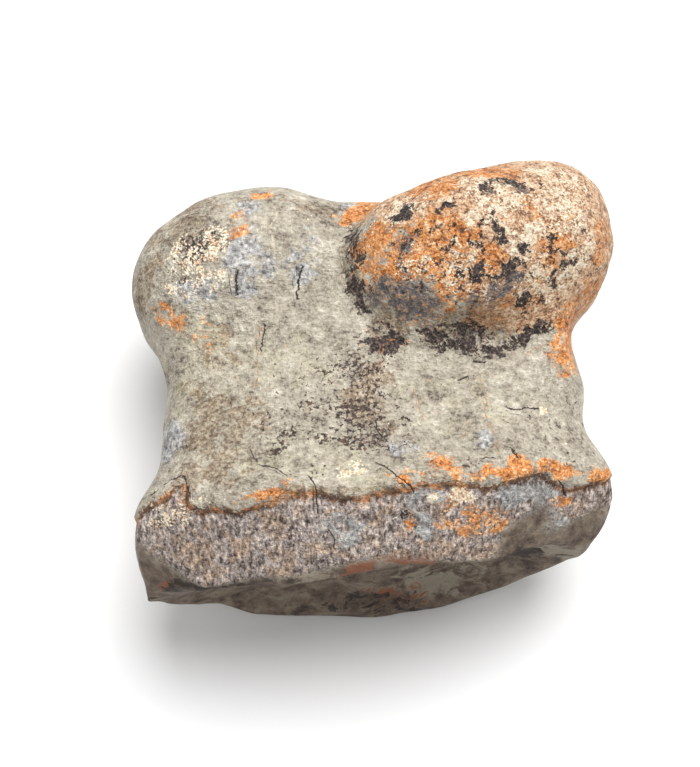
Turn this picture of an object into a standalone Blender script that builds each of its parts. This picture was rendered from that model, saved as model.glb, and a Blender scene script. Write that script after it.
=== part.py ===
"""Fossil toe bone of a sauropod: one stout phalanx at life size.

The bone lies on its lower face, as it would on a table, with its swollen knuckle up.
+X runs across the bone, +Y from the hollow joint end to the two knuckles, +Z up.
Sizes below are in millimetres. The surface is a field: a function that is negative
inside the bone and positive outside, blended from knuckles, shaft and joint end.
A cube of square cells is pushed out onto it.
"""

import math

import bmesh
import bpy
import numpy as np

MM = 0.001

# Shaft: left edge, right edge, underside and top at stations along the bone.
SHAFT_STATION = (-54.0, -44.0, -37.0, -29.0, -22.0, -14.0, 2.0, 14.0, 30.0, 48.0)
SHAFT_LEFT = (-49.5, -52.0, -53.2, -51.9, -48.9, -48.3, -47.5, -47.0, -46.0, -42.0)
SHAFT_RIGHT = (50.5, 52.4, 52.6, 52.8, 52.2, 48.9, 46.8, 45.0, 45.0, 44.0)
SHAFT_UNDER = (-1.2, -1.1, -1.0, 2.0, 4.4, 7.0, 9.5, 9.0, 7.0, 8.0)
SHAFT_TOP = (63.0, 62.6, 62.0, 58.7, 56.0, 54.0, 52.5, 52.0, 51.0, 49.0)
WIDEST_LEVEL = 34.0
TOP_SQUARENESS = 2.9
UNDER_SQUARENESS_LEFT = 2.15
UNDER_SQUARENESS_RIGHT = 1.95

# Distal end between the knuckles.
NOTCH_REACH = 46.5
NOTCH_ROUNDING = 14.0

# Knuckles: centre, half sizes, turn about the vertical and squareness (2 is round).
# Each stands on a narrower heel, which rests on the ground.
BIG_KNUCKLE = ((20.5, 26.0, 44.5), (27.5, 18.5, 27.5), 12.0, 2.3)
BIG_KNUCKLE_END = ((37.5, 33.0, 41.0), (19.0, 19.0, 24.0), 0.0, 2.2)
SMALL_KNUCKLE = ((-33.0, 28.6, 34.0), (25.3, 18.5, 23.5), 26.0, 2.1)
BIG_HEEL = ((22.0, 26.0, 18.5), (25.0, 18.0, 19.5), 10.0, 2.3)
SMALL_HEEL = ((-29.0, 25.0, 16.5), (20.0, 18.0, 17.5), 10.0, 2.3)
BIG_KNUCKLE_BLEND = 4.0
BIG_KNUCKLE_END_BLEND = 8.0
SMALL_KNUCKLE_BLEND = 8.0
HEEL_BLEND = 8.0

# Buttress that runs from the big knuckle down the right flank.
BUTTRESS = ((39.6, 12.0, 34.0), (5.0, 14.0, 18.0), 10.0, 2.0)
BUTTRESS_BLEND = 6.0

# Joint end: its face bows in plan, turns from lip to underside, and is hollowed
# under an overhanging lip. Each pair is the value at the lip and at the ground.
FACE_Y = (-46.3, -43.4)
FACE_SLANT = (0.13, 0.105)
FACE_BOW = (0.0011, 0.0018)
LIP_LEVEL = 48.0
# Blunt chin in the middle of the face's lower edge.
CHIN_X = 2.0
CHIN_WIDTH = 14.0
CHIN_DEPTH = 3.0
# The right corner of the joint end is cut off: direction of the cut and its level.
CORNER_CUT_ANGLE = 52.0
CORNER_CUT_LEVEL = 57.5
CORNER_ROUNDING = 5.0
HOLLOW_DEPTH = 7.5
HOLLOW_CENTRE = (-1.0, 26.0)
HOLLOW_HALF = (47.0, 22.0)
LIP_ROUNDING = 1.6

# Rough band above the joint end: a slope cut across the flared top.
BAND_TILT = 38.0
BAND_LEVEL = 67.7
BAND_CREST_X = -12.0
BAND_FALL = 0.0048
BAND_ROUNDING = 2.5

# Pits where the side ligaments were rooted, given as the knuckles are.
LIGAMENT_PITS = (
    ((-61.0, 24.0, 29.0), (6.5, 9.0, 9.0), 0.0, 2.0),
    ((60.5, 32.0, 30.0), (7.0, 9.0, 10.0), 0.0, 2.0),
)
PIT_ROUNDING = 4.0

# Weathered unevenness: height, wavelength and number of waves in each layer.
WEATHERING = ((0.45, 26.0, 20), (0.22, 12.0, 32))
WEATHERING_SEED = 7

# Starting cube: cells along each side, its proportions, and how much lower it is
# at the corners of its joint end, where the rim is lower.
CELLS = 30
CUBE_WIDTH = 1.1
CUBE_HEIGHT = 0.60
CUBE_CORNER_DROP = 0.34
# The cube is cast outwards from a point well inside the bone.
INNER_POINT = (0.0, -1.0, 27.0)
REACH = 95.0
SCAN_STEP = 1.0
HALVINGS = 24
# Its points are then slid about until the cells are even.
EVENING_ROUNDS = 40
EVENING_SHARE = 0.5
SURFACE_STEPS = 2
CLOSING_STEPS = 8
RIM_STEPS = 5
LARGEST_MOVE = 2.0
PROBE = 0.05
TINY = 1e-6
FLAT_BELOW = 0.02

FOSSIL_COLOUR = (0.30, 0.27, 0.21, 1.0)
FOSSIL_ROUGHNESS = 0.78


def clear_scene():
    for obj in list(bpy.data.objects):
        bpy.data.objects.remove(obj, do_unlink=True)


def join(first, second, blend):
    """Smooth union of two fields."""
    share = np.clip(0.5 + 0.5 * (second - first) / blend, 0.0, 1.0)
    return second + (first - second) * share - blend * share * (1.0 - share)


def trim(first, second, blend):
    """What lies inside both fields, with a rounded edge."""
    return -join(-first, -second, blend)


def turned(points, centre, angle):
    """Points seen from a form's own axes, turned about the vertical."""
    cos, sin = math.cos(math.radians(angle)), math.sin(math.radians(angle))
    x, y, z = (points - np.array(centre)).T
    return np.stack([x * cos + y * sin, y * cos - x * sin, z], axis=1)


def swelling(points, centre, half, angle, squareness):
    """An ellipsoid with blunter ends the higher its squareness is."""
    local = np.abs(turned(points, centre, angle)) / np.array(half) + TINY
    gauge = (local**squareness).sum(axis=1) ** (1 / squareness)
    steep = (local / gauge[:, None]) ** (squareness - 1) / np.array(half)
    return (gauge - 1.0) / np.linalg.norm(steep, axis=1)


def smooth_through(stations, values, at):
    """A curve through the stations that has no corners."""
    slopes = np.gradient(np.array(values), np.array(stations))
    at = np.clip(at, stations[0], stations[-1])
    low = np.clip(np.searchsorted(stations, at) - 1, 0, len(stations) - 2)
    start, end = np.array(stations)[low], np.array(stations)[low + 1]
    span = end - start
    t = (at - start) / span
    value, after = np.array(values)[low], np.array(values)[low + 1]
    lead, trail = slopes[low] * span, slopes[low + 1] * span
    return (
        (2 * t**3 - 3 * t**2 + 1) * value
        + (t**3 - 2 * t**2 + t) * lead
        + (3 * t**2 - 2 * t**3) * after
        + (t**3 - t**2) * trail
    )


def shaft(points):
    x, y, z = points.T
    left = smooth_through(SHAFT_STATION, SHAFT_LEFT, y)
    right = smooth_through(SHAFT_STATION, SHAFT_RIGHT, y)
    under = smooth_through(SHAFT_STATION, SHAFT_UNDER, y)
    top = smooth_through(SHAFT_STATION, SHAFT_TOP, y)
    half_width = (right - left) / 2
    offset = x - (left + right) / 2
    across = np.abs(offset) / half_width
    above = z > WIDEST_LEVEL
    under_power = np.where(offset < 0, UNDER_SQUARENESS_LEFT, UNDER_SQUARENESS_RIGHT)
    height = np.where(above, top - WIDEST_LEVEL, WIDEST_LEVEL - under)
    power = np.where(above, TOP_SQUARENESS, under_power)
    along = np.abs(z - WIDEST_LEVEL) / height
    gauge = (across**power + along**power) ** (1 / power) + TINY
    steep_across = (across / gauge) ** (power - 1) / half_width
    steep_along = (along / gauge) ** (power - 1) / height
    sides = (gauge - 1.0) / np.hypot(steep_across, steep_along)
    return trim(sides, y - NOTCH_REACH, NOTCH_ROUNDING)


def joint_end(points):
    """Positive in front of the hollowed joint face."""
    x, y, z = points.T
    lip_share = np.clip(z / LIP_LEVEL, 0.0, 1.0)
    place, slant, bow = (
        at_ground + (at_lip - at_ground) * lip_share
        for at_lip, at_ground in (FACE_Y, FACE_SLANT, FACE_BOW)
    )
    chin = CHIN_DEPTH * (1.0 - lip_share) * np.exp(-(((x - CHIN_X) / CHIN_WIDTH) ** 2))
    face = place + slant * x + bow * x**2 - chin
    reach = ((x - HOLLOW_CENTRE[0]) / HOLLOW_HALF[0]) ** 2
    reach = reach + ((z - HOLLOW_CENTRE[1]) / HOLLOW_HALF[1]) ** 2
    hollow = HOLLOW_DEPTH * np.clip(1.0 - reach**1.5, 0.0, 1.0)
    return face + hollow - y


def rough_band(points):
    """Positive above the sloping band."""
    x, y, z = points.T
    tilt = math.radians(BAND_TILT)
    level = BAND_LEVEL - BAND_FALL * (x - BAND_CREST_X) ** 2
    return z * math.cos(tilt) - y * math.sin(tilt) - level


def right_corner(points):
    """Positive outside the cut corner of the joint end."""
    angle = math.radians(CORNER_CUT_ANGLE)
    x, y, _ = points.T
    return x * math.cos(angle) - y * math.sin(angle) - CORNER_CUT_LEVEL


def weathering(points):
    """Low bumps, as a sum of waves in seeded directions."""
    draw = np.random.RandomState(WEATHERING_SEED)
    total = np.zeros(len(points))
    for height, wavelength, count in WEATHERING:
        for _ in range(count):
            direction = draw.normal(size=3)
            direction /= np.linalg.norm(direction)
            length = wavelength * draw.uniform(0.7, 1.4)
            phase = draw.uniform(0.0, 2 * math.pi)
            wave = np.sin(points @ direction * 2 * math.pi / length + phase)
            total += height * math.sqrt(2 / count) * wave
    return total


def outer_field(points):
    """The bone before its joint end is cut and its underside flattened."""
    field = join(shaft(points), swelling(points, *SMALL_HEEL), HEEL_BLEND)
    field = join(field, swelling(points, *BIG_HEEL), HEEL_BLEND)
    field = join(field, swelling(points, *SMALL_KNUCKLE), SMALL_KNUCKLE_BLEND)
    knuckle = swelling(points, *BIG_KNUCKLE)
    knuckle = join(knuckle, swelling(points, *BIG_KNUCKLE_END), BIG_KNUCKLE_END_BLEND)
    field = join(field, knuckle, BIG_KNUCKLE_BLEND)
    field = join(field, swelling(points, *BUTTRESS), BUTTRESS_BLEND)
    for pit in LIGAMENT_PITS:
        field = trim(field, -swelling(points, *pit), PIT_ROUNDING)
    field = trim(field, rough_band(points), BAND_ROUNDING)
    return trim(field, right_corner(points), CORNER_ROUNDING)


def bone_field(points):
    """The whole bone, weathered and cut flat where it lies on the ground."""
    field = trim(outer_field(points), joint_end(points), LIP_ROUNDING)
    return np.maximum(field - weathering(points), -points[:, 2])


def outer_surface(points):
    """The weathered bone but for its joint face."""
    return np.maximum(outer_field(points) - weathering(points), -points[:, 2])


def joint_face(points):
    return joint_end(points) - weathering(points)


def slope_of(field, points):
    slope = np.empty_like(points)
    for axis in range(3):
        shift = np.zeros(3)
        shift[axis] = PROBE
        slope[:, axis] = field(points + shift) - field(points - shift)
    return slope / (2 * PROBE)


def first_directions(cube):
    """Directions from the inner point through the cells of a cube, which is shaped
    so that the edges of its joint end already lie near the rim."""
    # The tangent spreads the cells evenly over the directions.
    across, along, up = np.tan(cube * math.pi / 4).T
    towards_joint = (1.0 - along) / 2
    height = CUBE_HEIGHT - CUBE_CORNER_DROP * across**2 * towards_joint
    directions = np.stack([across * CUBE_WIDTH, along, up * height], axis=1)
    return directions / np.linalg.norm(directions, axis=1)[:, None]


def cast_to_surface(directions):
    """The outermost place of the surface along each direction."""
    centre = np.array(INNER_POINT)
    outside = np.full(len(directions), REACH)
    searching = np.ones(len(directions), bool)
    while searching.any():
        trial = outside - SCAN_STEP
        searching &= bone_field(centre + directions * trial[:, None]) > 0
        outside = np.where(searching, trial, outside)
    inside = outside - SCAN_STEP
    for _ in range(HALVINGS):
        middle = (inside + outside) / 2
        within = bone_field(centre + directions * middle[:, None]) < 0
        inside = np.where(within, middle, inside)
        outside = np.where(within, outside, middle)
    return centre + directions * outside[:, None]


def onto_surface(points, steps):
    for _ in range(steps):
        slope = slope_of(bone_field, points)
        steepness = (slope**2).sum(axis=1)
        move = (bone_field(points) / steepness)[:, None] * slope
        points = points - np.clip(move, -LARGEST_MOVE, LARGEST_MOVE)
    return points


def onto_rim(points):
    """Moves points the shortest way to where the joint face meets the outside."""
    for _ in range(RIM_STEPS):
        out, face = outer_surface(points), joint_face(points)
        out_slope, face_slope = slope_of(outer_surface, points), slope_of(joint_face, points)
        out_steep, face_steep = (out_slope**2).sum(axis=1), (face_slope**2).sum(axis=1)
        shared = (out_slope * face_slope).sum(axis=1)
        scale = out_steep * face_steep - shared**2
        out_share = (face_steep * out - shared * face) / scale
        face_share = (out_steep * face - shared * out) / scale
        move = out_share[:, None] * out_slope + face_share[:, None] * face_slope
        points = points - np.clip(move, -LARGEST_MOVE, LARGEST_MOVE)
    return points


def neighbours_mean(points, edges):
    total, count = np.zeros_like(points), np.zeros((len(points), 1))
    for near, far in (edges.T, edges.T[::-1]):
        np.add.at(total, near, points[far])
        np.add.at(count, near, 1.0)
    return total / np.maximum(count, 1.0)


def evened(points, edges, rim):
    """Slides the points along the surface until the cells are about one size.
    The rim's own points stay on the edge of the joint face."""
    rim_edges = edges[rim[edges].all(axis=1)]
    points[rim] = onto_rim(points[rim])
    for _ in range(EVENING_ROUNDS):
        pull = neighbours_mean(points, edges) - points
        pull[rim] = (neighbours_mean(points, rim_edges) - points)[rim]
        slope = slope_of(bone_field, points)
        slope /= np.linalg.norm(slope, axis=1)[:, None]
        pull -= (pull * slope).sum(axis=1)[:, None] * slope
        points = points + EVENING_SHARE * pull
        points[~rim] = onto_surface(points[~rim], SURFACE_STEPS)
        points[rim] = onto_rim(points[rim])
    return onto_surface(points, CLOSING_STEPS)


def cube_of_cells():
    """A cube of square cells, and where its points are in it."""
    cube = bmesh.new()
    bmesh.ops.create_cube(cube, size=2.0)
    bmesh.ops.subdivide_edges(cube, edges=cube.edges, cuts=CELLS - 1, use_grid_fill=True)
    return cube, np.array([vertex.co for vertex in cube.verts])


def make_bone():
    bone, places = cube_of_cells()
    edges = np.array([[vertex.index for vertex in edge.verts] for edge in bone.edges])
    # The edge of the cube's joint end becomes the rim of the joint face.
    across, along, up = np.abs(places.T)
    rim = (places[:, 1] < 0) & (along > 1 - TINY) & (np.maximum(across, up) > 1 - TINY)
    points = evened(cast_to_surface(first_directions(places)), edges, rim)
    points[points[:, 2] < FLAT_BELOW, 2] = 0.0
    middle = (points.min(axis=0) + points.max(axis=0)) / 2
    points -= (middle[0], middle[1], 0.0)
    for vertex, point in zip(bone.verts, points):
        vertex.co = point * MM
    bmesh.ops.triangulate(bone, faces=bone.faces, quad_method="SHORT_EDGE")
    bmesh.ops.recalc_face_normals(bone, faces=bone.faces)
    mesh = bpy.data.meshes.new("toe_bone")
    bone.to_mesh(mesh)
    bone.free()
    mesh.shade_smooth()
    toe_bone = bpy.data.objects.new("toe_bone", mesh)
    bpy.context.scene.collection.objects.link(toe_bone)
    return toe_bone


def fossil_material():
    material = bpy.data.materials.new("fossil")
    material.use_nodes = True
    shader = material.node_tree.nodes["Principled BSDF"]
    shader.inputs["Base Color"].default_value = FOSSIL_COLOUR
    shader.inputs["Roughness"].default_value = FOSSIL_ROUGHNESS
    shader.inputs["Metallic"].default_value = 0.0
    return material


clear_scene()
make_bone().data.materials.append(fossil_material())
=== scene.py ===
"""Looks of the fossil toe bone.

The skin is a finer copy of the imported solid. It gets the relief and the stains that the
photograph shows. A place given as a pixel is one of the 700 x 767 photograph, and is
carried onto the bone along the camera's view. Sizes on the bone are in millimetres.
"""

import math

import bmesh
import bpy
import numpy as np
from mathutils import Matrix, Vector, noise
from mathutils.bvhtree import BVHTree


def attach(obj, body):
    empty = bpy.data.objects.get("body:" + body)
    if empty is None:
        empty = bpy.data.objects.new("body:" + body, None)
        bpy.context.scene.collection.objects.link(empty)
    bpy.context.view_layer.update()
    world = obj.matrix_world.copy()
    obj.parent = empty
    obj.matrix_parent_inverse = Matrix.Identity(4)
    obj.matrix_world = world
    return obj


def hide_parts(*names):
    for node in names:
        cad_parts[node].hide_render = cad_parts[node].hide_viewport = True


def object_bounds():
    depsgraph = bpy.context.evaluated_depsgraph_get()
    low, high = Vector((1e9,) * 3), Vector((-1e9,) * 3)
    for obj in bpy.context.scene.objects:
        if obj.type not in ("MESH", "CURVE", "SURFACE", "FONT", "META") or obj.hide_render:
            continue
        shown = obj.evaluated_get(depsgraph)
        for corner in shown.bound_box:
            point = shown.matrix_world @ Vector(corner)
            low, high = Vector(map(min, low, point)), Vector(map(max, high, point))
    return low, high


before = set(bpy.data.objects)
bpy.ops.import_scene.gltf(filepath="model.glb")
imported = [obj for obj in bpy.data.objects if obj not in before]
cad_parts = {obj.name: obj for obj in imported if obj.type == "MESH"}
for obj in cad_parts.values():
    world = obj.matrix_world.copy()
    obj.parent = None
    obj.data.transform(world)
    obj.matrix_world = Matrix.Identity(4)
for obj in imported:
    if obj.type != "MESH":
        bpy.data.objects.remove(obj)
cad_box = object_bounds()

MM = 0.001

# Camera: it looks down along +Y, at the photograph's angle and nearness.
PHOTO_SIZE = (700, 767)
FOCAL_LENGTH_PIXELS = 1414.0
SENSOR = 36.0
CAMERA_TARGET = (-0.005018, 0.001190, 0.032481)
CAMERA_ELEVATION = 68.0
CAMERA_DISTANCE = 0.330

# Skin: welding distance, the angle above which an edge of the solid stays firm,
# how firm, and how often the solid's faces are divided.
WELD = 1e-6
FIRM_ANGLE = 42.0
FIRMNESS = 0.55
DIVISIONS = 2

# How widely one octave of the shader's noise spreads round its mean.
ONE_OCTAVE_SPREAD = 0.125

# Zones of each stain or patch of painted shade: name, then pixel across, pixel down, half length and half width
# in mm, turn in degrees and how much of the surface it covers at its middle.
RUST = {
    "left side of the knuckle": (392, 258, 7.5, 9.0, 60, 0.80),
    "middle of the knuckle": (438, 242, 9.0, 7.5, 20, 0.72),
    "bright spot": (491, 262, 3.2, 3.0, 0, 1.10),
    "under the bright spot": (455, 290, 9.0, 4.5, 10, 0.62),
    "upper left edge": (436, 186, 8.0, 2.6, 22, 0.85),
    "top edge": (487, 172, 9.0, 2.4, 8, 0.72),
    "saddle": (357, 212, 5.5, 2.0, 25, 0.95),
    "upper right": (541, 212, 5.5, 3.5, -20, 0.55),
    "right of the cream": (553, 250, 5.5, 6.0, 0, 0.58),
    "right rim": (604, 236, 2.2, 6.0, -10, 0.62),
    "right low": (584, 300, 4.5, 6.5, -25, 0.72),
    "buttress": (566, 340, 3.6, 7.0, -10, 0.82),
    "end of the buttress": (571, 370, 2.4, 1.8, 0, 0.75),
    "low middle": (515, 300, 7.0, 3.0, 5, 0.50),
    "top of the small knuckle": (262, 195, 2.6, 1.6, 0, 0.95),
    "saddle of the small knuckle": (240, 228, 1.8, 4.5, -10, 0.62),
    "left flank": (168, 317, 4.5, 2.2, -25, 0.62),
    "low left flank": (203, 330, 2.6, 3.0, 0, 0.42),
    "ridge far right": (598, 478, 4.0, 1.6, -20, 0.85),
    "ridge right": (556, 468, 5.0, 1.5, -12, 0.92),
    "ridge middle": (510, 470, 7.0, 1.6, 4, 0.90),
    "ridge bright": (520, 462, 2.6, 1.8, 0, 0.95),
    "ridge left of the middle": (450, 468, 6.0, 1.8, -22, 0.72),
    "ridge at the crack": (405, 478, 4.0, 1.2, 5, 0.62),
    "band far right": (566, 496, 1.8, 3.4, -60, 0.72),
    "band gold": (478, 524, 8.0, 2.6, -8, 0.55),
    "band gold left": (452, 512, 2.0, 3.0, 0, 0.50),
    "band spot": (413, 522, 1.6, 1.8, 0, 0.60),
    "left corner": (168, 586, 2.2, 1.2, 0, 0.85),
    "left of the ridge": (263, 496, 6.5, 1.3, 14, 0.55),
}
CREAM = {
    "brightest": (521, 243, 3.4, 3.4, 20, 1.15),
    "beside the brightest": (530, 232, 4.2, 2.0, 30, 0.95),
    "upper crust": (500, 192, 7.0, 3.6, -8, 0.80),
    "crust arc": (545, 205, 5.5, 1.6, -25, 0.85),
    "crust left": (489, 215, 4.2, 4.0, 0, 0.70),
    "upper right pale": (563, 212, 7.5, 5.5, -35, 0.66),
    "right pale": (575, 262, 6.0, 2.4, 52, 0.85),
    "middle": (465, 256, 5.0, 4.0, 0, 0.52),
    "low middle": (475, 285, 7.0, 3.6, 0, 0.50),
    "right low": (540, 283, 7.0, 5.0, 20, 0.52),
    "left": (415, 262, 5.0, 4.0, 0, 0.42),
    "green edge": (405, 208, 6.5, 2.0, 28, 0.62),
    "top right": (558, 176, 6.0, 2.6, -30, 0.62),
    "top left": (470, 182, 4.5, 1.6, 15, 0.60),
    "small knuckle": (200, 248, 8.0, 4.0, 28, 0.62),
    "small knuckle low": (196, 282, 8.0, 2.6, 8, 0.50),
    "ridge grain": (462, 497, 2.4, 1.9, -30, 1.20),
    "ridge grain left": (434, 499, 1.0, 1.0, 0, 1.10),
    "band left": (172, 512, 6.0, 3.0, 15, 0.45),
    "shaft dot": (543, 411, 1.0, 0.8, 30, 1.10),
    "shaft blotch": (352, 470, 3.0, 1.6, 10, 0.50),
}
BLACK = {
    # Left rim: black stain, with painted shade of the knuckle's undercut added
    "left rim": (352, 246, 2.2, 8.0, 10, 0.62),
    "left rim low": (359, 290, 3.2, 5.0, 20, 0.62),
    "upper left": (403, 214, 3.4, 1.3, 25, 0.80),
    "upper middle": (446, 205, 3.0, 1.0, 30, 0.85),
    "head of the crust": (487, 188, 3.0, 1.6, -40, 0.66),
    "crust band": (516, 182, 7.0, 1.5, -6, 0.60),
    "down the crust": (497, 228, 1.8, 5.5, 25, 0.66),
    "ring left": (405, 246, 2.6, 2.6, 0, 0.55),
    "round the bright spot": (484, 274, 3.0, 2.0, -30, 0.72),
    "right of the bright spot": (514, 268, 2.0, 4.6, -25, 0.66),
    "low right": (530, 300, 5.0, 3.5, 0, 0.45),
    # Knuckle bottom: black specks, with painted shade along the knuckle's lower edge added
    "bottom left": (386, 345, 5.0, 1.8, 0, 0.85),
    "bottom middle": (455, 334, 8.0, 3.0, 4, 0.70),
    "bottom": (470, 348, 9.0, 1.8, -2, 0.72),
    "bottom right": (528, 334, 5.0, 2.2, 20, 0.72),
    "middle islands": (455, 262, 12.0, 9.0, 10, 0.30),
    "right islands": (560, 262, 7.0, 7.0, 0, 0.32),
    "band spot": (404, 514, 1.4, 1.2, 0, 0.85),
}
SLATE = {
    "low left": (412, 304, 6.5, 5.0, -25, 0.92),
    "left": (384, 291, 4.5, 3.5, 0, 0.60),
    "ring": (403, 246, 3.6, 3.6, 0, 0.42),
    "by the bright spot": (498, 288, 3.2, 1.8, 20, 0.72),
    "right of it": (515, 276, 2.6, 3.4, 0, 0.55),
    "head of the crust": (508, 186, 6.0, 2.0, -8, 0.50),
    "low middle": (482, 303, 5.0, 2.0, 0, 0.40),
}
BROWN = {
    "big stain": (215, 432, 8.5, 9.0, 30, 0.66),
    "big stain right": (250, 420, 4.5, 5.0, 0, 0.62),
    "big stain top": (205, 398, 8.0, 2.6, -25, 0.60),
    "big stain low": (222, 470, 8.0, 3.6, 20, 0.60),
    "small knuckle top": (180, 222, 10.0, 5.0, 38, 0.72),
    "small knuckle edge": (147, 280, 2.6, 7.0, -15, 0.72),
    "left flank": (176, 318, 6.0, 3.0, -20, 0.60),
    "flank spot": (214, 345, 3.6, 5.0, -25, 0.52),
    "flank spot low": (231, 364, 3.0, 3.6, 40, 0.52),
    "speckle core": (364, 396, 4.0, 8.0, 5, 0.80),
    "speckle core top": (376, 374, 4.0, 3.0, 0, 0.66),
    "speckle core low": (382, 420, 2.6, 4.0, 20, 0.60),
    # Knuckle bottom and left rim: brown stain, with painted shade of the knuckle's undercut added
    "knuckle bottom left": (392, 328, 4.2, 3.6, -20, 1.00),
    "knuckle bottom": (462, 326, 11.0, 3.6, 2, 0.80),
    "knuckle bottom right": (520, 330, 6.0, 2.4, 15, 0.62),
    "left rim of the knuckle": (356, 268, 3.6, 9.0, 12, 0.50),
    "band gold": (492, 524, 8.0, 3.0, -4, 0.72),
    "band left edge": (190, 478, 3.5, 4.0, 40, 0.60),
    "saddle edge": (300, 206, 14.0, 2.0, -6, 0.50),
    "buttress": (572, 345, 2.6, 6.0, 0, 0.50),
    "ridge": (470, 476, 16.0, 1.4, 3, 0.72),
    "ridge left": (330, 493, 22.0, 1.3, 2, 0.60),
    "band far right": (600, 505, 4.0, 6.0, 0, 0.55),
}
SPECKLE = {
    "field": (310, 408, 14.0, 10.0, 10, 0.20),
    "field left": (275, 425, 5.0, 7.0, 0, 0.20),
    "field right": (362, 392, 6.0, 11.0, 0, 0.40),
    "field top": (335, 362, 6.0, 3.5, 20, 0.26),
    "field low right": (398, 420, 5.0, 7.0, 0, 0.20),
    "field low": (345, 438, 9.0, 3.0, -8, 0.36),
    "cluster left": (290, 433, 2.6, 1.6, 20, 0.55),
    "cluster middle": (328, 439, 4.0, 1.4, -14, 0.60),
    "cluster right": (364, 444, 3.4, 2.2, 10, 0.42),
    "cluster low left": (276, 450, 2.6, 1.8, 20, 0.40),
    "curl low left": (312, 460, 2.0, 3.0, 20, 0.24),
    "right of the groove": (550, 428, 8.0, 5.0, -20, 0.12),
    "above the ridge": (560, 452, 8.0, 3.0, -25, 0.16),
    "above the ridge, left": (455, 463, 6.0, 1.6, 0, 0.20),
    "under the knuckle": (380, 340, 3.5, 4.5, 30, 0.34),
    "beside the knuckle": (363, 338, 2.2, 3.5, 0, 0.22),
    "low line": (318, 474, 12.0, 1.6, 6, 0.16),
    "small knuckle": (196, 250, 8.0, 4.5, 30, 0.34),
    "small knuckle middle": (188, 256, 5.0, 2.6, 30, 0.30),
    "small knuckle low": (186, 270, 3.6, 2.0, 20, 0.30),
    "small knuckle edge": (170, 285, 3.0, 4.0, 0, 0.12),
    "pit by the left vein": (415, 405, 3.0, 4.0, 0, 0.14),
}
BLUE_GREY = {
    "by the light ridge": (250, 262, 5.5, 8.0, 0, 0.72),
    "between the slits": (303, 258, 4.0, 8.0, 0, 0.42),
    "top": (252, 209, 3.2, 2.2, 0, 0.80),
    "left edge": (172, 440, 3.0, 5.0, 0, 1.00),
    "small knuckle low": (195, 294, 6.0, 3.4, -10, 0.72),
    "saddle dot": (345, 208, 1.8, 1.8, 0, 1.05),
    "band right": (530, 492, 9.0, 3.0, 5, 0.90),
    "band right low": (540, 522, 6.0, 3.0, 0, 0.72),
    "band middle": (425, 494, 5.0, 2.6, 0, 0.62),
    "band low": (428, 524, 2.0, 3.0, 0, 0.80),
    "band centre": (340, 528, 6.0, 4.0, 0, 0.42),
    "pebble": (485, 439, 2.0, 1.7, 0, 1.00),
    "shaft": (400, 446, 3.0, 2.0, 0, 0.55),
}
PALE_GREEN = {
    "left of the shaft": (200, 365, 8.0, 10.0, 0, 0.70),
    "left low": (180, 405, 4.0, 6.0, 0, 0.66),
    "middle": (290, 365, 10.0, 8.0, 0, 0.55),
    "low middle": (300, 455, 14.0, 5.0, 0, 0.72),
    "low": (370, 476, 8.0, 3.0, 0, 0.80),
    "right": (460, 400, 14.0, 9.0, 0, 0.35),
}

FACE_GREEN = {
    "left": (305, 575, 9.0, 2.4, 6, 0.60),
    "middle": (428, 580, 8.0, 5.0, -8, 0.80),
    "right of the middle": (462, 572, 6.0, 3.0, 0, 0.55),
    "right": (560, 551, 7.0, 2.4, -15, 0.70),
}
FACE_RED = {
    "left": (357, 571, 4.0, 3.2, 0, 0.90),
    "middle": (415, 556, 7.0, 2.0, -8, 0.60),
    "low": (400, 596, 9.0, 3.0, -4, 0.45),
    "left corner": (166, 584, 2.6, 1.2, 0, 0.90),
}
# Painted shade on the joint face, darkest as painted shadow under the lip
FACE_PAINTED_SHADE = {
    "left": (192, 585, 8.0, 2.0, 5, 0.85),
    "left low": (240, 582, 8.0, 2.0, 5, 0.55),
    "under the lip": (456, 553, 5.0, 1.6, -4, 0.90),
    "under the lip, right": (520, 552, 5.0, 1.6, -3, 1.00),
    "low": (380, 604, 14.0, 3.0, -5, 0.45),
}

# Lines: name, then half width in mm, depth in mm and the pixels it runs through.
CRACKS = {
    "long slit": (0.26, 0.50, ((238, 268), (236, 282), (239, 298))),
    "second slit": (0.22, 0.45, ((304, 262), (299, 280), (297, 303))),
    "low slit": (0.20, 0.35, ((266, 322), (263, 338), (261, 355))),
    "slit above the ridge": (0.30, 0.55, ((512, 446), (515, 453), (519, 459))),
    "slit under the knuckle": (0.26, 0.50, ((471, 362), (479, 361), (487, 363))),
    "short crease": (0.18, 0.30, ((457, 381), (463, 376), (470, 375))),
    "long groove": (0.20, 0.35, ((503, 406), (512, 410), (525, 408), (541, 409))),
    "crack to the band": (0.17, 0.40, ((371, 461), (386, 467), (396, 478), (410, 483), (417, 497))),
    "crack down the band": (0.17, 0.45, ((305, 474), (314, 482), (317, 497), (319, 519))),
    "crack in the band": (0.15, 0.35, ((327, 524), (333, 538), (336, 552))),
    "step at the left": (0.24, 0.60, ((148, 500), (166, 484), (184, 474), (188, 488), (194, 503))),
    "line by the core": (0.13, 0.20, ((375, 418), (378, 430), (384, 440))),
    "line low left": (0.12, 0.20, ((248, 447), (258, 463), (276, 468), (290, 478))),
    "far groove": (0.18, 0.30, ((556, 478), (563, 487), (567, 499))),
    "groove under the pebble": (0.16, 0.25, ((478, 459), (488, 457), (497, 458))),
}
VEINS = {
    "long vein": (0.16, 0.12, ((478, 368), (484, 388), (486, 410), (492, 430), (500, 446), (498, 462))),
    "left vein": (0.12, 0.08, ((412, 386), (417, 398), (420, 412), (424, 424))),
    "vein above the ridge": (0.10, 0.05, ((470, 420), (466, 432), (462, 442))),
    "edge of the fold": (0.16, 0.10, ((385, 340), (400, 341), (414, 343))),
    "left edge of the fold": (0.12, 0.08, ((384, 342), (382, 356), (380, 370))),
    "vein to the buttress": (0.12, 0.08, ((523, 354), (537, 349), (550, 342))),
    "rusty slit": (0.16, 0.08, ((263, 323), (258, 340), (257, 362), (256, 392))),
}
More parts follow.
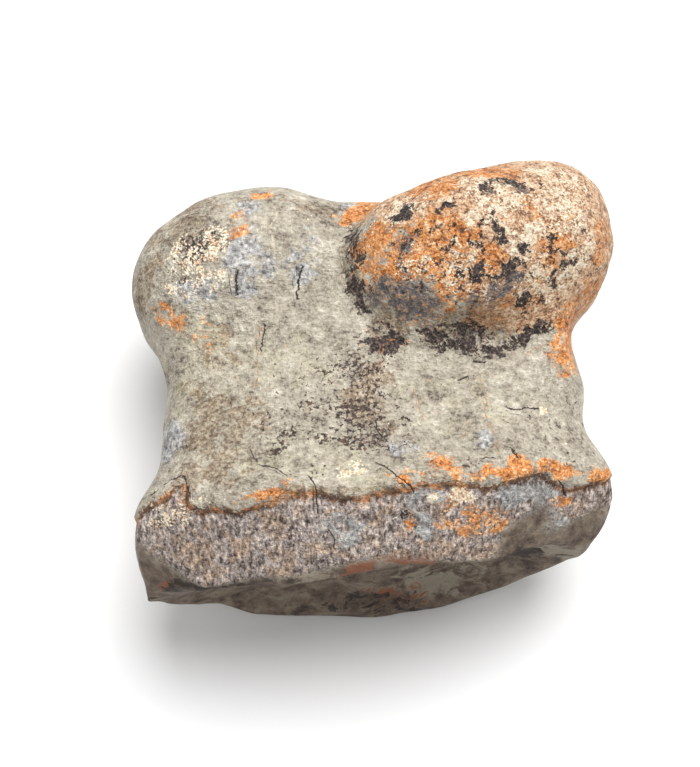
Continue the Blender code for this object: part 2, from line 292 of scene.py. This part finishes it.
LIGHT_RIDGES = {
    "light ridge": (0.20, -0.35, ((280, 206), (273, 222), (270, 232), (274, 250), (275, 266), (270, 282), (271, 298))),
    "knuckle edge": (0.20, -0.20, ((341, 258), (344, 275), (347, 290))),
}
RIDGE_LINE = (
    (130, 524), (146, 508), (164, 498), (178, 484), (187, 486), (191, 506), (204, 510), (222, 507),
    (238, 511), (254, 506), (270, 502), (281, 493), (300, 490), (318, 491), (332, 495), (350, 498),
    (368, 496), (384, 491), (402, 488), (418, 484), (436, 483), (456, 481), (474, 486), (492, 487),
    (506, 481), (522, 477), (541, 473), (553, 481), (566, 490), (580, 487), (596, 482), (614, 480),
)
KNUCKLE_EDGE = (
    (341, 212), (338, 232), (341, 258), (346, 284), (358, 310), (376, 332), (400, 343), (430, 348),
    (470, 352), (505, 351), (528, 343), (545, 331), (560, 318), (572, 300),
)
PEBBLE = (485, 439)
PEBBLE_RADIUS = 1.75


def srgb(red, green, blue):
    """A colour given as it looks on a screen, from 0 to 255, as the shader takes it."""
    shares = [value / 255 for value in (red, green, blue)]
    linear = [s / 12.92 if s < 0.04045 else ((s + 0.055) / 1.055) ** 2.4 for s in shares]
    return (*linear, 1.0)


def camera_axes():
    """The camera's right, up and back directions."""
    tilt = math.radians(CAMERA_ELEVATION)
    right = (1.0, 0.0, 0.0)
    up = (0.0, math.sin(tilt), math.cos(tilt))
    back = (0.0, -math.cos(tilt), math.sin(tilt))
    return np.array([right, up, back])


AXES = camera_axes()
EYE = np.array(CAMERA_TARGET) + AXES[2] * CAMERA_DISTANCE


def make_camera():
    camera = bpy.data.cameras.new("camera")
    camera.sensor_width = SENSOR
    camera.lens = SENSOR * FOCAL_LENGTH_PIXELS / max(PHOTO_SIZE)
    camera.clip_start = 0.01
    camera.dof.use_dof = False
    holder = bpy.data.objects.new("camera", camera)
    bpy.context.scene.collection.objects.link(holder)
    holder.matrix_world = Matrix.Translation(EYE) @ Matrix(AXES.T.tolist()).to_4x4()
    bpy.context.scene.camera = holder


def fine_copy(solid):
    """The solid's mesh in quads, divided until it can carry relief."""
    work = bmesh.new()
    work.from_mesh(solid.data)
    bmesh.ops.remove_doubles(work, verts=work.verts, dist=WELD)
    bmesh.ops.join_triangles(
        work, faces=work.faces, angle_face_threshold=math.pi, angle_shape_threshold=math.pi
    )
    crease = work.edges.layers.float.new("crease_edge")
    for edge in work.edges:
        if edge.calc_face_angle(0.0) > math.radians(FIRM_ANGLE):
            edge[crease] = FIRMNESS
    mesh = bpy.data.meshes.new("skin_base")
    work.to_mesh(mesh)
    work.free()
    skin = bpy.data.objects.new("skin", mesh)
    bpy.context.scene.collection.objects.link(skin)
    divide = skin.modifiers.new("divide", "SUBSURF")
    divide.levels = DIVISIONS
    divide.render_levels = DIVISIONS
    bpy.context.view_layer.update()
    seen = skin.evaluated_get(bpy.context.evaluated_depsgraph_get())
    skin_mesh = bpy.data.meshes.new_from_object(seen)
    skin.modifiers.clear()
    skin.data = skin_mesh
    skin_mesh.materials.clear()
    return skin


class Skin:
    """The skin's points and normals in mm, and where the camera sees them."""

    def __init__(self, skin):
        self.mesh = skin.data
        self.points = np.array([vertex.co for vertex in self.mesh.vertices]) / MM
        self.normals = np.array([vertex.normal for vertex in self.mesh.vertices])
        self.seen = self.points @ AXES.T
        self.tree = BVHTree.FromPolygons(
            self.points.tolist(), [face.vertices[:] for face in self.mesh.polygons]
        )
        self.eye = EYE / MM

    def place_of(self, pixel):
        """Where the camera sees a pixel's place on the skin: right, up, back, in mm."""
        middle = np.array(PHOTO_SIZE) / 2
        offset = np.array(pixel) - middle
        for pulled_in in np.linspace(1.0, 0.8, 21):
            across, down = offset * pulled_in / FOCAL_LENGTH_PIXELS
            ray = AXES[0] * across - AXES[1] * down - AXES[2]
            hit = self.tree.ray_cast(Vector(self.eye), Vector(ray))[0]
            if hit is not None:
                return AXES @ np.array(hit)
        raise ValueError("no skin at pixel %s" % (pixel,))

    def write(self, name, values):
        """Keeps values on the mesh, for the material to read."""
        attribute = self.mesh.attributes.new(name, "FLOAT", "POINT")
        attribute.data.foreach_set("value", np.asarray(values, np.float32))


def ease(low, high, values):
    """Rises smoothly from 0 at low to 1 at high, or falls where high is below low."""
    share = np.clip((values - low) / (high - low), 0.0, 1.0)
    return share * share * (3.0 - 2.0 * share)


def cloud(points, size, octaves=4, seed=0):
    """Smooth noise from about -1 to 1 whose features are about so many mm wide."""
    shift = Vector((31.7 * seed, 12.9 * seed, 47.3 * seed))
    places = (points / size).tolist()
    return np.array([noise.fractal(Vector(p) + shift, 1.0, 2.0, octaves) for p in places])


def wandering(points, size, reach, seed):
    """The points moved about by noise, which gives zones ragged edges."""
    moves = [cloud(points, size, 3, seed + axis) for axis in range(3)]
    return points + reach * np.stack(moves, axis=1)


def covered(skin, seen, zones):
    """How much of the surface a stain or a patch of painted shade covers at each point, from 0 to about 1."""
    cover = np.zeros(len(seen))
    for across, down, length, width, turn, strength in zones.values():
        offset = seen - skin.place_of((across, down))
        cos, sin = math.cos(math.radians(turn)), math.sin(math.radians(turn))
        along = (offset[:, 0] * cos + offset[:, 1] * sin) / length
        aside = (offset[:, 1] * cos - offset[:, 0] * sin) / width
        deep = offset[:, 2] / max(length, width, 4.0) / 1.5
        gauge = np.sqrt(along**2 + aside**2 + deep**2)
        cover = np.maximum(cover, strength * ease(1.55, 0.45, gauge))
    return cover


def pull(cover):
    """How far noise with a spread of 1 is lifted so that this share of it lies above 0."""
    excess = cover - 0.5
    return 3.2 * excess + 13.0 * excess**3


def along_line(seen, stops):
    """Signed distance of points to a line, and how far along it they are, 0 to 1."""
    nearest = np.full(len(seen), np.inf)
    signed = np.zeros(len(seen))
    share = np.zeros(len(seen))
    lengths = [np.linalg.norm(b - a) for a, b in zip(stops, stops[1:])]
    start, total = 0.0, sum(lengths)
    for a, b, length in zip(stops, stops[1:], lengths):
        step = (b - a) / length
        t = np.clip((seen - a) @ step, 0.0, length)
        away = seen - a - t[:, None] * step
        distance = np.linalg.norm(away, axis=1)
        side = np.sign(step[0] * away[:, 1] - step[1] * away[:, 0])
        closer = distance < nearest
        nearest = np.where(closer, distance, nearest)
        signed = np.where(closer, distance * side, signed)
        share = np.where(closer, (start + t) / total, share)
        start += length
    return signed, share


def lines(skin, seen, wanted):
    """Signed distance to the nearest line in half widths, how present it is there, and
    the depth that the lines cut."""
    offset = np.full(len(seen), 9.0)
    present = np.zeros(len(seen))
    depth = np.zeros(len(seen))
    for half_width, cut, pixels in wanted.values():
        signed, share = along_line(seen, [skin.place_of(pixel) for pixel in pixels])
        tip = ease(0.0, 0.16, share) * ease(1.0, 0.84, share)
        near = ease(7.0 * half_width, 4.0 * half_width, np.abs(signed))
        scaled = signed / half_width
        closer = near * tip > present
        offset = np.where(closer, scaled, offset)
        present = np.where(closer, near * tip, present)
        hollow = cut * tip * np.exp(-((signed / max(half_width, 0.42)) ** 2))
        depth = np.where(np.abs(hollow) > np.abs(depth), hollow, depth)
    return offset, present, depth


def make_skin():
    holder = fine_copy(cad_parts["toe_bone"])
    skin = Skin(holder)
    rough_seen = wandering(skin.points, 7.0, 1.3, 3) @ AXES.T
    fine_seen = wandering(skin.points, 2.4, 0.45, 11) @ AXES.T

    ridge, _ = along_line(fine_seen, [skin.place_of(pixel) for pixel in RIDGE_LINE])
    ridge_near = ease(9.0, 5.0, np.abs(ridge)) * ease(-10.0, -16.0, skin.points[:, 1])
    knuckle, knuckle_share = along_line(
        fine_seen, [skin.place_of(pixel) for pixel in KNUCKLE_EDGE]
    )
    low, high = (np.array(corner) / MM for corner in cad_box)
    x, y, z = skin.points.T
    facing_joint = ease(0.25, 0.55, -skin.normals[:, 1]) * ease(-28.0, -34.0, y)
    below_lip = facing_joint * ease(0.72, 0.60, skin.normals[:, 2])
    band = ease(0.0, 0.9, -ridge) * ease(-20.0, -25.0, y) * (1 - below_lip)
    band = band * ease(-0.35, 0.0, skin.normals[:, 2])
    centre, half = np.array((30.0, 30.0, 45.0)), np.array((33.0, 24.0, 33.0))
    on_knuckle = ease(1.12, 0.98, np.linalg.norm((skin.points - centre) / half, axis=1))

    crack_offset, crack_here, crack_depth = lines(skin, fine_seen, CRACKS)
    vein_offset, vein_here, vein_depth = lines(skin, fine_seen, VEINS)
    light_offset, light_here, light_depth = lines(skin, fine_seen, LIGHT_RIDGES)

    rust = covered(skin, rough_seen, RUST)
    cream = covered(skin, rough_seen, CREAM)
    black = covered(skin, rough_seen, BLACK)
    slate = covered(skin, rough_seen, SLATE)
    brown = covered(skin, rough_seen, BROWN)
    speckle = covered(skin, rough_seen, SPECKLE)
    blue_grey = covered(skin, rough_seen, BLUE_GREY)
    pale_green = covered(skin, rough_seen, PALE_GREEN)

    uneven = 0.10 * cloud(skin.points, 5.0, 4, 21)
    coarse = cloud(skin.points * (1.0, 0.45, 0.6), 1.5, 3, 22)
    flaky = cloud(skin.points, 3.2, 4, 23)
    raised = uneven
    raised += band * (0.16 * coarse + 0.10 * flaky)
    raised += on_knuckle * 0.12 * np.round(2.5 * flaky) / 2.5
    raised += ease(0.3, 0.8, brown) * on_knuckle * 0.25 * coarse
    step = ease(-0.3, 0.5, ridge) * ease(7.0, 0.5, ridge) * 0.55
    undercut = 0.35 * np.exp(-(((ridge + 0.9) / 0.9) ** 2))
    raised += ridge_near * (step - undercut) * (1 - below_lip)
    raised -= 0.35 * np.exp(-((knuckle / 0.9) ** 2)) * ease(0.0, 0.1, knuckle_share)
    raised -= crack_depth + vein_depth + light_depth
    pebble = np.linalg.norm(fine_seen - skin.place_of(PEBBLE), axis=1)
    raised += 0.25 * ease(1.0, 0.6, pebble / PEBBLE_RADIUS)
    raised -= 0.25 * np.exp(-(((pebble - PEBBLE_RADIUS) / 0.4) ** 2))
    raised *= ease(0.0, 1.2, z)
    places = (skin.points + skin.normals * raised[:, None]) * MM
    skin.mesh.vertices.foreach_set("co", places.ravel())
    skin.mesh.update()
    skin.mesh.shade_smooth()

    skin.write("rust", pull(rust))
    skin.write("cream", pull(cream))
    skin.write("black", pull(black))
    skin.write("slate", pull(slate))
    skin.write("brown", pull(brown))
    skin.write("speckle", pull(speckle))
    skin.write("blue_grey", pull(blue_grey))
    skin.write("pale_green", pull(pale_green))
    skin.write("band", band)
    skin.write("joint_face", below_lip)
    skin.write("face_green", pull(covered(skin, rough_seen, FACE_GREEN)))
    skin.write("face_red", pull(covered(skin, rough_seen, FACE_RED)))
    # Painted shade on the joint face, darkest under the lip
    skin.write("face_painted_shade", pull(covered(skin, rough_seen, FACE_PAINTED_SHADE)))
    skin.write("ridge", ridge)
    skin.write("knuckle", on_knuckle)
    skin.write("crack_offset", crack_offset)
    skin.write("crack_here", crack_here)
    skin.write("vein_offset", vein_offset)
    skin.write("vein_here", vein_here)
    skin.write("light_offset", light_offset)
    skin.write("light_here", light_here)
    skin.write("relief", raised)
    return holder


class Recipe:
    """A material's nodes, made so that each step of it reads as one line."""

    def __init__(self, name):
        self.material = bpy.data.materials.new(name)
        self.material.use_nodes = True
        self.tree = self.material.node_tree
        self.shader = self.tree.nodes["Principled BSDF"]
        place = self.tree.nodes.new("ShaderNodeTexCoord").outputs["Object"]
        self.place = self.vector("SCALE", place, scale=1 / MM)

    def put(self, socket, value):
        if isinstance(value, bpy.types.NodeSocket):
            self.tree.links.new(value, socket)
        elif value is not None:
            socket.default_value = value

    def vector(self, operation, first, second=None, third=None, scale=None):
        node = self.tree.nodes.new("ShaderNodeVectorMath")
        node.operation = operation
        self.put(node.inputs[0], first)
        self.put(node.inputs[1], second)
        self.put(node.inputs[2], third)
        if scale is not None:
            self.put(node.inputs["Scale"], scale)
        return node.outputs["Vector"]

    def sum(self, operation, first, second=None, third=None, clamp=False):
        node = self.tree.nodes.new("ShaderNodeMath")
        node.operation = operation
        node.use_clamp = clamp
        self.put(node.inputs[0], first)
        self.put(node.inputs[1], second)
        self.put(node.inputs[2], third)
        return node.outputs["Value"]

    def kept(self, name):
        """A value that the mesh keeps at each point."""
        node = self.tree.nodes.new("ShaderNodeAttribute")
        node.attribute_name = name
        return node.outputs["Fac"]

    def noise(self, size, detail=5, roughness=0.55, twist=0.0, seed=0, stretch=(1, 1, 1)):
        """Noise with mean 0 and spread 1 whose features are about so many mm wide."""
        node = self.tree.nodes.new("ShaderNodeTexNoise")
        scale = tuple(1 / (size * s) for s in stretch)
        shift = (seed * 7.31, seed * 3.77, seed * 5.19)
        place = self.vector("MULTIPLY_ADD", self.place, scale, shift)
        self.put(node.inputs["Vector"], place)
        node.inputs["Scale"].default_value = 1.0
        node.inputs["Detail"].default_value = detail
        node.inputs["Roughness"].default_value = roughness
        node.inputs["Distortion"].default_value = twist
        weights = [roughness**octave for octave in range(detail + 1)]
        spread = ONE_OCTAVE_SPREAD * math.hypot(*weights) / sum(weights)
        return self.sum("MULTIPLY_ADD", node.outputs["Fac"], 1 / spread, -0.5 / spread)

    def together(self, *shared):
        """Several noises in one, again with spread 1. Each comes with its weight."""
        size = math.hypot(*(weight for _, weight in shared))
        total = None
        for noise_value, weight in shared:
            total = self.sum("MULTIPLY_ADD", noise_value, weight / size, total or 0.0)
        return total

    def ramp(self, value, *stops):
        """Colours along a noise value, each given with its place from -3 to 3."""
        node = self.tree.nodes.new("ShaderNodeValToRGB")
        stretch = node.color_ramp
        while len(stretch.elements) < len(stops):
            stretch.elements.new(0.5)
        for element, (place, colour) in zip(stretch.elements, stops):
            element.position = (place + 3) / 6
            element.color = srgb(*colour)
        self.put(node.inputs["Fac"], self.sum("MULTIPLY_ADD", value, 1 / 6, 0.5))
        return node.outputs["Color"]

    def step(self, value, low, high):
        """Rises smoothly from 0 at low to 1 at high."""
        node = self.tree.nodes.new("ShaderNodeMapRange")
        node.interpolation_type = "SMOOTHSTEP"
        self.put(node.inputs["Value"], value)
        self.put(node.inputs["From Min"], low)
        self.put(node.inputs["From Max"], high)
        return node.outputs["Result"]

    def where(self, cover, pattern, softness=0.15):
        """The parts of a noise that a stain or painted shade takes, where it is lifted by its cover."""
        return self.step(self.sum("ADD", cover, pattern), -softness, softness)

    def mix(self, under, over, share, blend="MIX"):
        node = self.tree.nodes.new("ShaderNodeMix")
        node.data_type = "RGBA"
        node.blend_type = blend
        self.put(node.inputs[0], share)
        self.put(node.inputs[6], under)
        self.put(node.inputs[7], over)
        return node.outputs[2]

    def blend(self, low, high, share):
        """A number between two, by share."""
        node = self.tree.nodes.new("ShaderNodeMix")
        node.data_type = "FLOAT"
        self.put(node.inputs[0], share)
        self.put(node.inputs[2], low)
        self.put(node.inputs[3], high)
        return node.outputs[0]


def bone_material():
    r = Recipe("fossil_bone")
    cloudy = r.noise(9.0, 3, 0.5, seed=1)
    medium = r.noise(2.6, 5, 0.6, seed=2)
    sand = r.noise(0.9, 3, 0.7, seed=3)
    grit = r.noise(0.5, 1, 0.6, seed=14)
    hatching = r.noise(0.8, 3, 0.62, 0.5, seed=10, stretch=(2.6, 0.8, 1.0))
    broad = r.noise(5.0, 8, 0.68, 0.6, seed=8)
    fine_lace = r.noise(1.0, 5, 0.7, 0.6, seed=15)
    lace = r.together((r.noise(4.2, 7, 0.66, 0.6, seed=4), 0.8), (fine_lace, 0.6))
    islands = r.together((r.noise(2.8, 7, 0.66, 0.5, seed=5), 0.85), (fine_lace, -0.5))
    crust = r.together((r.noise(2.4, 7, 0.68, 0.6, seed=7), 0.8), (grit, 0.5))
    flecks = r.together((r.noise(0.85, 3, 0.6, 0.4, seed=6), 0.9), (broad, 0.45))
    fibres = r.noise(0.8, 4, 0.62, 0.3, seed=9, stretch=(1.0, 2.6, 1.8))
    specks = r.noise(0.85, 3, 0.6, seed=16)

    # Sandy grey-green stone of the shaft
    green = r.kept("pale_green")
    driver = r.together((sand, 0.55), (medium, 0.6), (hatching, 0.25), (grit, 0.35), (cloudy, 0.45))
    stone = r.ramp(
        driver, (-2.8, (100, 91, 80)), (-1.5, (148, 139, 124)), (0.0, (176, 167, 151)),
        (1.4, (194, 186, 169)), (2.8, (222, 214, 198)),
    )
    pale = r.ramp(
        driver, (-2.6, (126, 118, 100)), (-1.2, (166, 158, 138)), (0.2, (188, 180, 159)),
        (1.8, (206, 198, 177)),
    )
    colour = r.mix(stone, pale, r.where(green, broad, 0.9))

    # Fibrous lilac-brown bone of the band
    band = r.where(r.sum("MULTIPLY_ADD", r.kept("band"), 6.0, -3.0), fine_lace, 0.4)
    strands = r.together((fibres, 0.8), (sand, 0.45), (grit, 0.35), (broad, 0.3))
    bony = r.ramp(
        strands, (-2.6, (70, 60, 57)), (-1.4, (122, 108, 101)), (-0.3, (164, 151, 144)),
        (0.7, (188, 176, 169)), (1.6, (226, 208, 196)), (2.7, (250, 236, 222)),
    )
    ruddy = r.mix(bony, (0.86, 0.74, 0.62, 1.0), r.where(-0.4, broad, 0.9), "MULTIPLY")
    colour = r.mix(colour, ruddy, band)

    # Swollen knuckle under its stains
    knuckle = r.where(r.sum("MULTIPLY_ADD", r.kept("knuckle"), 6.0, -3.0), broad, 0.3)
    mixture = r.together((fine_lace, 0.7), (medium, 0.45), (grit, 0.4))
    ball = r.ramp(
        mixture, (-2.6, (84, 66, 56)), (-1.4, (156, 120, 94)), (-0.4, (204, 160, 124)),
        (0.5, (226, 186, 150)), (1.5, (244, 218, 186)), (2.7, (252, 240, 220)),
    )
    colour = r.mix(colour, ball, knuckle)

    blue = r.ramp(
        r.together((sand, 0.7), (medium, 0.5), (fibres, 0.4)), (-2.6, (96, 94, 94)),
        (-1.0, (148, 146, 144)), (0.4, (178, 176, 173)), (2.4, (224, 220, 214)),
    )
    colour = r.mix(colour, blue, r.where(r.kept("blue_grey"), broad, 0.8))

    film = r.mix((0.58, 0.49, 0.42, 1.0), (0.84, 0.76, 0.68, 1.0), r.step(sand, -1.2, 1.2))
    # Brown film: stains, and at the knuckle's bottom and left rim also painted shade
    colour = r.mix(colour, film, r.where(r.kept("brown"), lace, 0.7), "MULTIPLY")

    rust = r.ramp(
        mixture, (-2.6, (96, 58, 38)), (-1.3, (172, 106, 58)), (-0.1, (218, 140, 74)),
        (0.9, (232, 164, 104)), (1.9, (246, 200, 156)), (2.8, (250, 226, 196)),
    )
    colour = r.mix(colour, rust, r.where(r.kept("rust"), lace, 0.3))

    cream = r.ramp(
        r.together((grit, 0.6), (sand, 0.6), (medium, 0.4)), (-2.4, (140, 106, 84)),
        (-1.1, (206, 168, 138)), (0.1, (240, 216, 184)), (1.2, (252, 242, 218)),
    )
    colour = r.mix(colour, cream, r.where(r.kept("cream"), crust, 0.25))

    slate = r.ramp(
        mixture, (-2.4, (66, 62, 64)), (-0.6, (108, 104, 106)), (0.6, (138, 128, 122)),
        (1.4, (184, 144, 112)), (2.2, (218, 168, 124)),
    )
    colour = r.mix(colour, slate, r.where(r.kept("slate"), lace, 0.2))

    black = r.ramp(
        r.together((grit, 0.6), (sand, 0.6)), (-2.0, (34, 29, 28)), (0.0, (66, 58, 56)),
        (1.4, (104, 90, 82)), (2.4, (150, 126, 106)),
    )
    # Black: stains and specks, and along the knuckle's bottom and left rim also painted shade
    colour = r.mix(colour, black, r.where(r.kept("black"), islands, 0.2))

    fleck = r.ramp(sand, (-1.5, (52, 46, 46)), (0.5, (86, 72, 68)), (2.0, (124, 96, 80)))
    colour = r.mix(colour, fleck, r.where(r.kept("speckle"), flecks, 0.25))

    # Rusty seam along the crust's edge
    seam = r.sum("MULTIPLY_ADD", fine_lace, 0.32, r.kept("ridge"))
    seam = r.step(r.sum("ABSOLUTE", r.sum("ADD", seam, 0.45)), 0.95, 0.35)
    seam_colour = r.ramp(
        r.together((broad, 0.8), (sand, 0.6)), (-1.8, (84, 64, 52)), (-0.2, (124, 92, 68)),
        (1.0, (176, 118, 72)), (2.2, (216, 160, 112)),
    )
    colour = r.mix(colour, seam_colour, r.sum("MULTIPLY", seam, r.step(r.kept("band"), -1.0, 0.2)))

    # Hollowed joint face under its lip: its own brown, darkened further as painted shade
    deep = r.ramp(
        r.together((broad, 0.8), (medium, 0.5)), (-2.4, (62, 50, 42)), (0.0, (112, 96, 82)),
        (2.4, (140, 128, 112)),
    )
    deep = r.mix(deep, srgb(146, 136, 120), r.where(r.kept("face_green"), broad, 0.8))
    deep = r.mix(deep, srgb(134, 86, 62), r.where(r.kept("face_red"), broad, 0.6))
    # Painted shade on the joint face, darkest as painted shadow under the lip
    deep = r.mix(deep, srgb(58, 48, 42), r.where(r.kept("face_painted_shade"), broad, 0.6))
    colour = r.mix(colour, deep, r.kept("joint_face"))

    # Painted shade in hollows, then cracks and veins
    relief = r.kept("relief")
    colour = r.mix(colour, (0.30, 0.25, 0.20, 1.0), r.step(relief, -0.15, -0.7), "MULTIPLY")
    wobble = r.sum("MULTIPLY", grit, 0.35)
    crack = line_mask(r, "crack", wobble, 0.55, 1.25)
    colour = r.mix(colour, srgb(58, 50, 45), crack)
    vein = line_mask(r, "vein", wobble, 0.5, 1.3)
    colour = r.mix(colour, srgb(184, 130, 88), r.sum("MULTIPLY", vein, r.step(sand, -0.6, 0.3)))
    light = line_mask(r, "light", wobble, 0.5, 1.4)
    colour = r.mix(colour, srgb(216, 200, 178), r.sum("MULTIPLY", light, r.step(sand, -0.8, 0.3)))
    r.put(r.shader.inputs["Base Color"], colour)

    rough = r.blend(0.66, 0.86, r.step(medium, -1.5, 1.5))
    rough = r.blend(rough, 0.50, r.where(r.kept("slate"), lace, 0.3))
    r.put(r.shader.inputs["Roughness"], rough)
    r.shader.inputs["Specular IOR Level"].default_value = 0.35

    # Fine relief in mm
    height = r.sum("MULTIPLY", sand, 0.045)
    height = r.sum("MULTIPLY_ADD", medium, 0.10, height)
    height = r.sum("MULTIPLY_ADD", hatching, 0.03, height)
    height = r.sum("MULTIPLY_ADD", r.sum("MULTIPLY", fibres, band), 0.11, height)
    height = r.sum("MULTIPLY_ADD", r.sum("MULTIPLY", mixture, knuckle), 0.07, height)
    height = r.sum("MULTIPLY_ADD", crack, -0.25, height)
    bump = r.tree.nodes.new("ShaderNodeBump")
    bump.inputs["Distance"].default_value = MM
    bump.inputs["Strength"].default_value = 1.0
    r.put(bump.inputs["Height"], height)
    r.put(r.shader.inputs["Normal"], bump.outputs["Normal"])
    return r.material


def line_mask(r, name, wobble, inner, outer):
    offset = r.sum("ADD", r.kept(name + "_offset"), wobble)
    line = r.step(r.sum("ABSOLUTE", offset), outer, inner)
    return r.sum("MULTIPLY", line, r.step(r.kept(name + "_here"), 0.2, 0.6))


def make_floor():
    floor_mesh = bpy.data.meshes.new("floor")
    half = 3.0
    corners = [(-half, -half, 0), (half, -half, 0), (half, half, 0), (-half, half, 0)]
    floor_mesh.from_pydata(corners, [], [(0, 1, 2, 3)])
    floor = bpy.data.objects.new("floor", floor_mesh)
    bpy.context.scene.collection.objects.link(floor)
    material = bpy.data.materials.new("floor")
    material.use_nodes = True
    shader = material.node_tree.nodes["Principled BSDF"]
    shader.inputs["Base Color"].default_value = (0.90, 0.90, 0.90, 1.0)
    shader.inputs["Roughness"].default_value = 0.9
    shader.inputs["Specular IOR Level"].default_value = 0.1
    floor_mesh.materials.append(material)


def make_light(name, place, size, power):
    light = bpy.data.lights.new(name, "AREA")
    light.shape = "DISK"
    light.size = size
    light.energy = power
    holder = bpy.data.objects.new(name, light)
    bpy.context.scene.collection.objects.link(holder)
    holder.location = place
    aim = Vector((0.0, 0.0, 0.03)) - Vector(place)
    holder.rotation_euler = aim.to_track_quat("-Z", "Y").to_euler()


def make_world():
    world = bpy.data.worlds.new("studio")
    world.use_nodes = True
    background = world.node_tree.nodes["Background"]
    background.inputs["Color"].default_value = (1.0, 1.0, 1.0, 1.0)
    background.inputs["Strength"].default_value = 0.55
    bpy.context.scene.world = world


make_camera()
bone = make_skin()
bone.data.materials.append(bone_material())
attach(bone, "root")
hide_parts("toe_bone")
make_floor()
make_world()
make_light("key", (0.16, 0.30, 0.92), 0.75, 11.5)
bpy.context.scene.view_settings.view_transform = "Standard"
